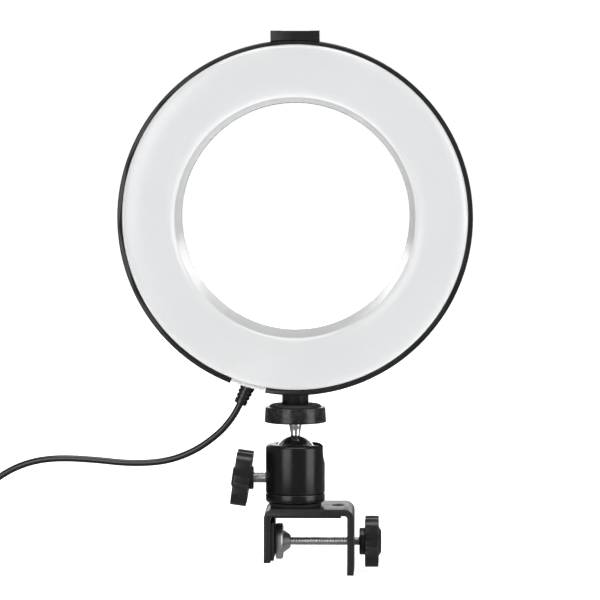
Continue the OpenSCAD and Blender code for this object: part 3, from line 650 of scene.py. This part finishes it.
def ease(share):
    """A smooth step from nought to one."""
    share = min(1.0, max(0.0, share))
    return share * share * (3 - 2 * share)


def coil_events():
    """Where the winding moves to the next column or layer: degrees wound, column step, layer step."""
    events = []
    begin = FIRST_SHIFT
    for layer in range(4):
        inward = -1 if layer % 2 == 0 else 1
        events += [(begin, inward, 0), (begin + 360, inward, 0)]
        rise = begin + 720 - SHIFT_SPAN
        if layer < 3:
            events.append((rise, 0, 1))
            begin = rise + SHIFT_SPAN + 270
    return events


def coil_points():
    """The wound turns, three columns wide and four layers high, each turn a diameter apart."""
    events = coil_events()
    per_turn = 30
    points = []
    for k in range(1, int(COIL_TURNS * per_turn)):
        wound = 360 * k / per_turn
        radius = COIL_OUT + COIL_STEP * sum(e[1] * ease((wound - e[0]) / SHIFT_SPAN) for e in events)
        lift = COIL_LIFT * sum(e[2] * ease((wound - e[0]) / SHIFT_SPAN) for e in events)
        angle = radians(90 + wound)
        points.append((COIL_X + radius * cos(angle), radius * sin(angle), COIL_START + lift))
    return points


def smooth_line(points, parts=4):
    """Points on a smooth curve through the given points."""
    line = []
    for k in range(len(points) - 1):
        a, b, c, d = (Vector(points[min(max(k + s, 0), len(points) - 1)]) for s in (-1, 0, 1, 2))
        for part in range(parts):
            t = part / parts
            line.append(
                0.5 * (2 * b + (c - a) * t + (2 * a - 5 * b + 4 * c - d) * t * t
                       + (3 * b - a - 3 * c + d) * t * t * t)
            )
    return line + [Vector(points[-1])]


def cord_tube(name, line, thickness):
    """A round cord along a line of points in millimetres, closed at its ends."""
    deselect()
    curve = bpy.data.curves.new(name, "CURVE")
    curve.dimensions = "3D"
    curve.bevel_depth = thickness / 2
    curve.bevel_resolution = 5
    curve.use_fill_caps = True
    spline = curve.splines.new("POLY")
    spline.points.add(len(line) - 1)
    for point, place in zip(spline.points, line):
        point.co = (*(Vector(place) * MM), 1)
    spline.use_smooth = True
    piece = bpy.data.objects.new(name, curve)
    bpy.context.scene.collection.objects.link(piece)
    pick(piece)
    bpy.ops.object.convert(target="MESH")
    piece = bpy.context.object
    close_up(piece)
    bpy.ops.object.shade_smooth_by_angle(angle=radians(40))
    return piece


class RINGLIGHT_OT_cord(bpy.types.Operator):
    """Lays the cord from the ring to its wound coil and the controller, and the lead to the plug."""

    bl_idname = "ring_light.cord"
    bl_label = "Cord and coil"

    def execute(self, context):
        thickness = context.scene.ring_light_sizes.cord_thickness
        line = smooth_line(ROUTE_OUT) + [Vector(p) for p in coil_points()] + smooth_line(ROUTE_BACK)
        cord = cord_tube("power_cord", line, thickness)
        stand_for(cord, "cord", "cord_coil", "cord_tail")
        lead_line = smooth_line(ROUTE_PLUG)
        lead = cord_tube("plug_lead_cord", lead_line, thickness)
        stand_for(lead, "plug_lead")
        case = [refine("controller_base", "controller_case_base", 0.0006, 3),
                refine("controller_lid", "controller_case_lid", 0.0006, 3)]
        case += self.case_details()
        plug = [refine("plug_grip", "usb_plug_grip", 0.0006, 3),
                refine("plug_shell", "usb_plug_shell", 0.0001, 2)]
        ties = refine("cord_tie", "coil_ties", 0.0002)
        return {"FINISHED"}

    def case_details(self):
        """The ribbed sleeves where the cord enters and leaves the controller."""
        low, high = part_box("controller_base")
        middle = (ROUTE_PLUG[0][1] * MM, ROUTE_PLUG[0][2] * MM)
        bore, root, end, ribs = 0.0016, 0.001, 0.0049, 4
        widest, taper, lead, pitch = 0.0027, 0.00025, 0.0002, 0.0012
        sleeves = []
        for name, face, way in (
            ("controller_sleeve_near", high.x, 1),
            ("controller_sleeve_far", low.x, -1),
        ):
            profile = [(bore, -root * way)]
            for k in range(ribs):
                outer = widest - taper * k
                start = (lead + pitch * k) * way
                profile += [(outer, start), (outer - 0.0001, start + 0.0008 * way),
                            (outer - 0.0006, start + 0.0009 * way), (outer - 0.0006, start + 0.0011 * way)]
            profile += [(bore, end * way), (bore, -root * way)]
            sleeve = turned(name, profile, "X", (face, *middle), 48)
            round_edges(sleeve, 0.0001)
            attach(sleeve, "ring")
            give_finish(sleeve, "cord_rubber")
            sleeves.append(sleeve)
        return sleeves


# ---------- ring ----------


class RINGLIGHT_OT_diffuser(bpy.types.Operator):
    """Spins the milky diffuser that covers the front and the inner wall of the ring."""

    bl_idname = "ring_light.diffuser"
    bl_label = "Diffuser"

    def execute(self, context):
        sizes = context.scene.ring_light_sizes
        low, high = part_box("diffuser")
        middle = (low + high) / 2
        outer = (high.x - low.x) / 2
        centre = Vector((middle.x, 0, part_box("led_board")[0].z + self.board_radius()))
        front = low.y + sizes.diffuser_rise
        foot_radius, inner_radius, back = 0.05165, 0.0540, high.y
        sleeve_radius, sleeve_wall, sleeve_end = 0.05142, 0.00006, back + 0.0013
        skirt = 0.0022
        crown, half = (outer + inner_radius) / 2, (outer - inner_radius) / 2
        profile = [(sleeve_radius, sleeve_end), (sleeve_radius, back - 0.001), (foot_radius, back - 0.0025)]
        profile += self.arch(crown, half, front, sizes.diffuser_rise, False)
        profile += [(outer, front + skirt), (outer - sizes.diffuser_wall, front + skirt)]
        profile += self.arch(
            crown, half - sizes.diffuser_wall, front, sizes.diffuser_rise - sizes.diffuser_wall, True
        )
        profile += [
            (foot_radius + sizes.diffuser_wall, back), (sleeve_radius + sleeve_wall, back),
            (sleeve_radius + sleeve_wall, sleeve_end), (sleeve_radius, sleeve_end),
        ]
        piece = turned("diffuser_cover", profile, "Y", centre, 220)
        pick(piece)
        bpy.ops.object.shade_smooth_by_angle(angle=radians(35))
        self.tab(centre, front)
        stand_for(piece, "diffuser")
        return {"FINISHED"}

    def board_radius(self):
        low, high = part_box("led_board")
        return (high.x - low.x) / 2

    def arch(self, crown, half, front, rise, backwards):
        """The flattened arch of the diffuser's front, from the opening outwards."""
        count, power = 40, 2.6
        points = []
        for k in range(count + 1):
            across = cos(pi - pi * k / count)
            up = max(0.0, 1 - abs(across) ** power) ** (1 / power)
            points.append((crown + half * across, front - rise * up))
        return points[::-1] if backwards else points

    def tab(self, centre, front):
        """The ribbed white tab that closes the rim's gap over the cord's exit."""
        exit_angle = radians(15.66)
        half, ribs = radians(5.72), 7
        rib = (0.00228, 0.0022, 0.0029)
        rib_radius, rib_edge = 0.0780, 0.00025
        for k in range(ribs):
            angle = exit_angle + half * (2 * k + 1 - ribs) / ribs
            deselect()
            bpy.ops.mesh.primitive_cube_add(size=1, location=(0, front + rib[1] / 2, -rib_radius))
            piece = bpy.context.object
            piece.name = "diffuser_tab_rib_%d" % (k + 1)
            piece.scale = rib
            settle(piece)
            round_edges(piece, rib_edge, 3)
            piece.matrix_world = Matrix.Translation(centre) @ Matrix.Rotation(angle, 4, "Y")
            settle(piece)
            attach(piece, "ring")
            give_finish(piece, "diffuser_plastic")


class RINGLIGHT_OT_casing(bpy.types.Operator):
    """Rounds the black casing, the accessory shoe and the strain relief."""

    bl_idname = "ring_light.casing"
    bl_label = "Casing and shoe"

    def execute(self, context):
        sizes = context.scene.ring_light_sizes
        refine("ring_housing", "casing", sizes.edge, 2, 30)
        refine("cold_shoe", "accessory_shoe_body", 0.00009, 2, 40)
        refine("strain_relief", "strain_relief_boot", 0.00015, 2, 30)
        return {"FINISHED"}


# ---------- ball head ----------


class RINGLIGHT_OT_head(bpy.types.Operator):
    """Builds the ball head's housing, ball, stem, lock disc and pad."""

    bl_idname = "ring_light.head"
    bl_label = "Ball head"

    def execute(self, context):
        sizes = context.scene.ring_light_sizes
        refine("head_body", "head_housing", sizes.metal_edge, 2, 35)
        refine("head_base", "head_foot", sizes.metal_edge, 2, 35)
        refine("head_washer", "head_washer_ring", 0.0002)
        self.ball()
        self.stem()
        self.disc(sizes)
        self.pad()
        return {"FINISHED"}

    def ball(self):
        """A polished ball."""
        low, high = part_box("ball")
        radius, count = (high.z - low.z) / 2, 60
        profile = [(0, -radius)]
        for k in range(1, count):
            angle = pi - pi * k / count
            profile.append((radius * sin(angle), radius * cos(angle)))
        profile.append((0, radius))
        piece = turned("chrome_ball", profile, "Z", (low + high) / 2, 96)
        bpy.ops.object.shade_smooth_by_angle(angle=radians(40))
        stand_for(piece, "ball")

    def stem(self):
        """The tapered stem, spread a little where it meets the ball, with a collar under the disc."""
        low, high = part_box("stem")
        ball_low, ball_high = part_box("ball")
        radius, middle = (ball_high.z - ball_low.z) / 2, (ball_high.z + ball_low.z) / 2
        collar = high.z - 0.0058
        profile = [(0, middle + radius - 0.0004)]
        for wide, rise in ((0.0016, -0.0003), (0.0024, 0.00001), (0.00215, 0.0002), (0.00202, 0.0006)):
            profile.append((wide, middle + sqrt(radius ** 2 - wide ** 2) + rise))
        profile += [
            (0.0027, collar - 0.0024), (0.0029, collar - 0.0012), (0.00293, collar - 0.0006),
            (0.0034, collar - 0.0002), (0.0034, collar + 0.0006), (0.00325, collar + 0.0008),
            (0.0020, collar + 0.0008), (0.0020, high.z), (0, high.z),
        ]
        piece = turned("tapered_stem", profile, "Z", (0, 0, 0), 64)
        bpy.ops.object.shade_smooth_by_angle(angle=radians(40))
        stand_for(piece, "stem")

    def disc(self, sizes):
        """The lock disc, with fine turned lines round its edge."""
        low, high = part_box("lock_disc")
        outer, flare, rim = (high.x - low.x) / 2, 0.0004, 0.00045
        bore, recess, floor = 0.00323, 0.01175, high.z - 0.0009
        start, end = low.z + rim, high.z - rim
        lines = sizes.disc_lines
        profile = [(0.0040, low.z), (outer - rim, low.z), (outer - 0.12 * rim, low.z + 0.35 * rim)]
        for k in range(lines):
            step = (end - start) / lines
            z = start + step * k
            at = outer - flare * (z - start) / (end - start)
            profile += [(at, z), (at, z + 0.62 * step), (at - sizes.disc_groove, z + 0.72 * step),
                        (at - sizes.disc_groove, z + 0.9 * step)]
        top = outer - flare
        profile += [(top, end), (top - 0.15 * rim, high.z - 0.35 * rim), (top - rim, high.z),
                    (recess, high.z), (recess, floor), (bore, floor), (bore, low.z + 0.0026),
                    (0.0040, low.z + 0.0026), (0.0040, low.z)]
        piece = turned("lock_disc_body", profile, "Z", (0, 0, 0), 128)
        bpy.ops.object.shade_smooth_by_angle(angle=radians(24))
        stand_for(piece, "lock_disc")

    def pad(self):
        """The rubber pad on the disc, with two moulded rings on its face."""
        low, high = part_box("pad_disc")
        outer, inner = (high.x - low.x) / 2, 0.0035
        profile = [
            (inner, low.z), (outer, low.z), (outer, low.z + 0.0012), (outer - 0.0003, high.z - 0.0003),
            (outer - 0.0008, high.z), (0.0098, high.z), (0.0096, high.z - 0.00025),
            (0.0092, high.z - 0.00025), (0.0090, high.z), (0.0078, high.z), (0.0076, high.z - 0.00025),
            (0.0072, high.z - 0.00025), (0.0070, high.z), (inner, high.z), (inner, low.z),
        ]
        piece = turned("disc_pad_ring", profile, "Z", (0, 0, 0), 96)
        bpy.ops.object.shade_smooth_by_angle(angle=radians(30))
        stand_for(piece, "pad_disc")


class RINGLIGHT_OT_lock_knob(bpy.types.Operator):
    """Builds the locking screw with its thread, the winged knob and its cap."""

    bl_idname = "ring_light.lock_knob"
    bl_label = "Locking knob"

    def execute(self, context):
        sizes = context.scene.ring_light_sizes
        low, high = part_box("lock_screw")
        radius = (high.z - low.z) / 2
        screw = threaded(
            "lock_screw_thread", low.x, high.x, radius, sizes.lock_pitch, sizes.thread_depth,
            (low + high) / 2,
        )
        stand_for(screw, "lock_screw")
        refine("lock_knob", "lock_knob_wings", 0.0009, 4, 40)
        refine("lock_knob_cap", "lock_knob_end_cap", 0.0003, 3)
        return {"FINISHED"}


# ---------- clamp ----------


class RINGLIGHT_OT_clamp(bpy.types.Operator):
    """Builds the bracket, its pads, the swivel foot, the threaded screw and its knob."""

    bl_idname = "ring_light.clamp"
    bl_label = "Edge clamp"

    def execute(self, context):
        sizes = context.scene.ring_light_sizes
        refine("clamp_bracket", "bent_bracket", 0.0003, 3, 35)
        refine("web_pad", "web_pad_sheet", 0.0002)
        refine("jaw_pad", "jaw_pad_sheet", 0.0002)
        self.foot()
        low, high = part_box("clamp_screw")
        radius = (high.z - low.z) / 2
        screw = threaded(
            "clamp_screw_thread", low.x, high.x, radius, sizes.clamp_pitch, sizes.thread_depth,
            (low + high) / 2,
        )
        stand_for(screw, "clamp_screw")
        refine("clamp_knob", "clamp_knob_lobed", 0.0009, 4, 40)
        refine("clamp_knob_cap", "clamp_knob_end_cap", 0.0004, 3)
        return {"FINISHED"}

    def foot(self):
        """The turned swivel foot: a grooved plate and a rounded collar over the screw's end."""
        low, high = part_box("clamp_foot")
        centre, radius = (low + high) / 2, (high.z - low.z) / 2
        face, neck = low.x - centre.x, high.x - centre.x
        profile = [(0, face + 0.0002)]
        for ring in (0.002, 0.0038, 0.0056):
            profile += [
                (ring, face + 0.0002), (ring + 0.0002, face + 0.0005),
                (ring + 0.0006, face + 0.0005), (ring + 0.0008, face + 0.0002),
            ]
        profile += [
            (radius - 0.0009, face), (radius - 0.00025, face + 0.0002), (radius, face + 0.0007),
            (radius, face + 0.0026), (radius - 0.0003, face + 0.0032), (radius - 0.0009, face + 0.0035),
            (0.0056, face + 0.0035), (0.0052, face + 0.0038), (0.0034, neck - 0.0006),
            (0.0030, neck - 0.0001), (0.0027, neck), (0.00205, neck), (0.00205, neck - 0.003),
            (0, neck - 0.003),
        ]
        piece = turned("swivel_foot", profile, "X", centre, 96)
        bpy.ops.object.shade_smooth_by_angle(angle=radians(30))
        stand_for(piece, "clamp_foot")


# ---------- controller buttons and the nodes that stay ----------


class RINGLIGHT_OT_buttons(bpy.types.Operator):
    """Shapes the four soft buttons with a shallow dish in each."""

    bl_idname = "ring_light.buttons"
    bl_label = "Buttons"

    def execute(self, context):
        for node in ("button_power", "button_colour", "button_brighter", "button_dimmer"):
            low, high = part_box(node)
            centre = (low + high) / 2
            foot, cap, flange = low.z, high.z, (high.x - low.x) / 2
            face = flange - 0.0008
            profile = [
                (0, foot), (flange - 0.0001, foot), (flange, foot + 0.0001), (flange, foot + 0.0009),
                (flange - 0.0001, foot + 0.001), (face, foot + 0.001), (face, cap - 0.0005),
                (face - 0.0002, cap - 0.0001), (face - 0.0005, cap), (face - 0.0008, cap - 0.00005),
                (face - 0.0014, cap - 0.00022), (0, cap - 0.0003),
            ]
            piece = turned(node + "_cap", profile, "Z", (centre.x, centre.y, 0), 48)
            bpy.ops.object.shade_smooth_by_angle(angle=radians(35))
            stand_for(piece, node)
        return {"FINISHED"}


class RINGLIGHT_OT_inner_parts(bpy.types.Operator):
    """Gives every CAD node that stays shown its procedural finish."""

    bl_idname = "ring_light.inner_parts"
    bl_label = "Inner parts"

    def execute(self, context):
        for name, node in frame["nodes"].items():
            if not node.hide_render:
                give_finish(node, SLOT_OF[name])
        return {"FINISHED"}


# ---------- panel and registration ----------


class RINGLIGHT_PT_panel(bpy.types.Panel):
    """Lists the ring light's sizes, finishes and building steps."""

    bl_label = "Ring Light"
    bl_idname = "RINGLIGHT_PT_panel"
    bl_space_type = "VIEW_3D"
    bl_region_type = "UI"
    bl_category = "Ring Light"

    def draw(self, context):
        for group in (context.scene.ring_light_sizes, context.scene.ring_light_finishes):
            box = self.layout.box()
            for key in group.__annotations__:
                box.prop(group, key)
        for operator in OPERATORS:
            self.layout.operator(operator.bl_idname)


OPERATORS = (
    RINGLIGHT_OT_stage, RINGLIGHT_OT_cord, RINGLIGHT_OT_diffuser, RINGLIGHT_OT_casing,
    RINGLIGHT_OT_head, RINGLIGHT_OT_lock_knob, RINGLIGHT_OT_clamp, RINGLIGHT_OT_buttons,
    RINGLIGHT_OT_inner_parts,
)
CLASSES = (RingLightSizes, RingLightFinishes, *OPERATORS, RINGLIGHT_PT_panel)


def register():
    for made in CLASSES:
        bpy.utils.register_class(made)
    bpy.types.Scene.ring_light_sizes = PointerProperty(type=RingLightSizes)
    bpy.types.Scene.ring_light_finishes = PointerProperty(type=RingLightFinishes)


def unregister():
    del bpy.types.Scene.ring_light_finishes
    del bpy.types.Scene.ring_light_sizes
    for made in reversed(CLASSES):
        bpy.utils.unregister_class(made)


def main():
    register()
    bpy.ops.ring_light.stage()
    bpy.ops.ring_light.cord()
    bpy.ops.ring_light.diffuser()
    bpy.ops.ring_light.casing()
    bpy.ops.ring_light.head()
    bpy.ops.ring_light.lock_knob()
    bpy.ops.ring_light.clamp()
    bpy.ops.ring_light.buttons()
    bpy.ops.ring_light.inner_parts()
    deselect()


if __name__ == "__main__":
    main()
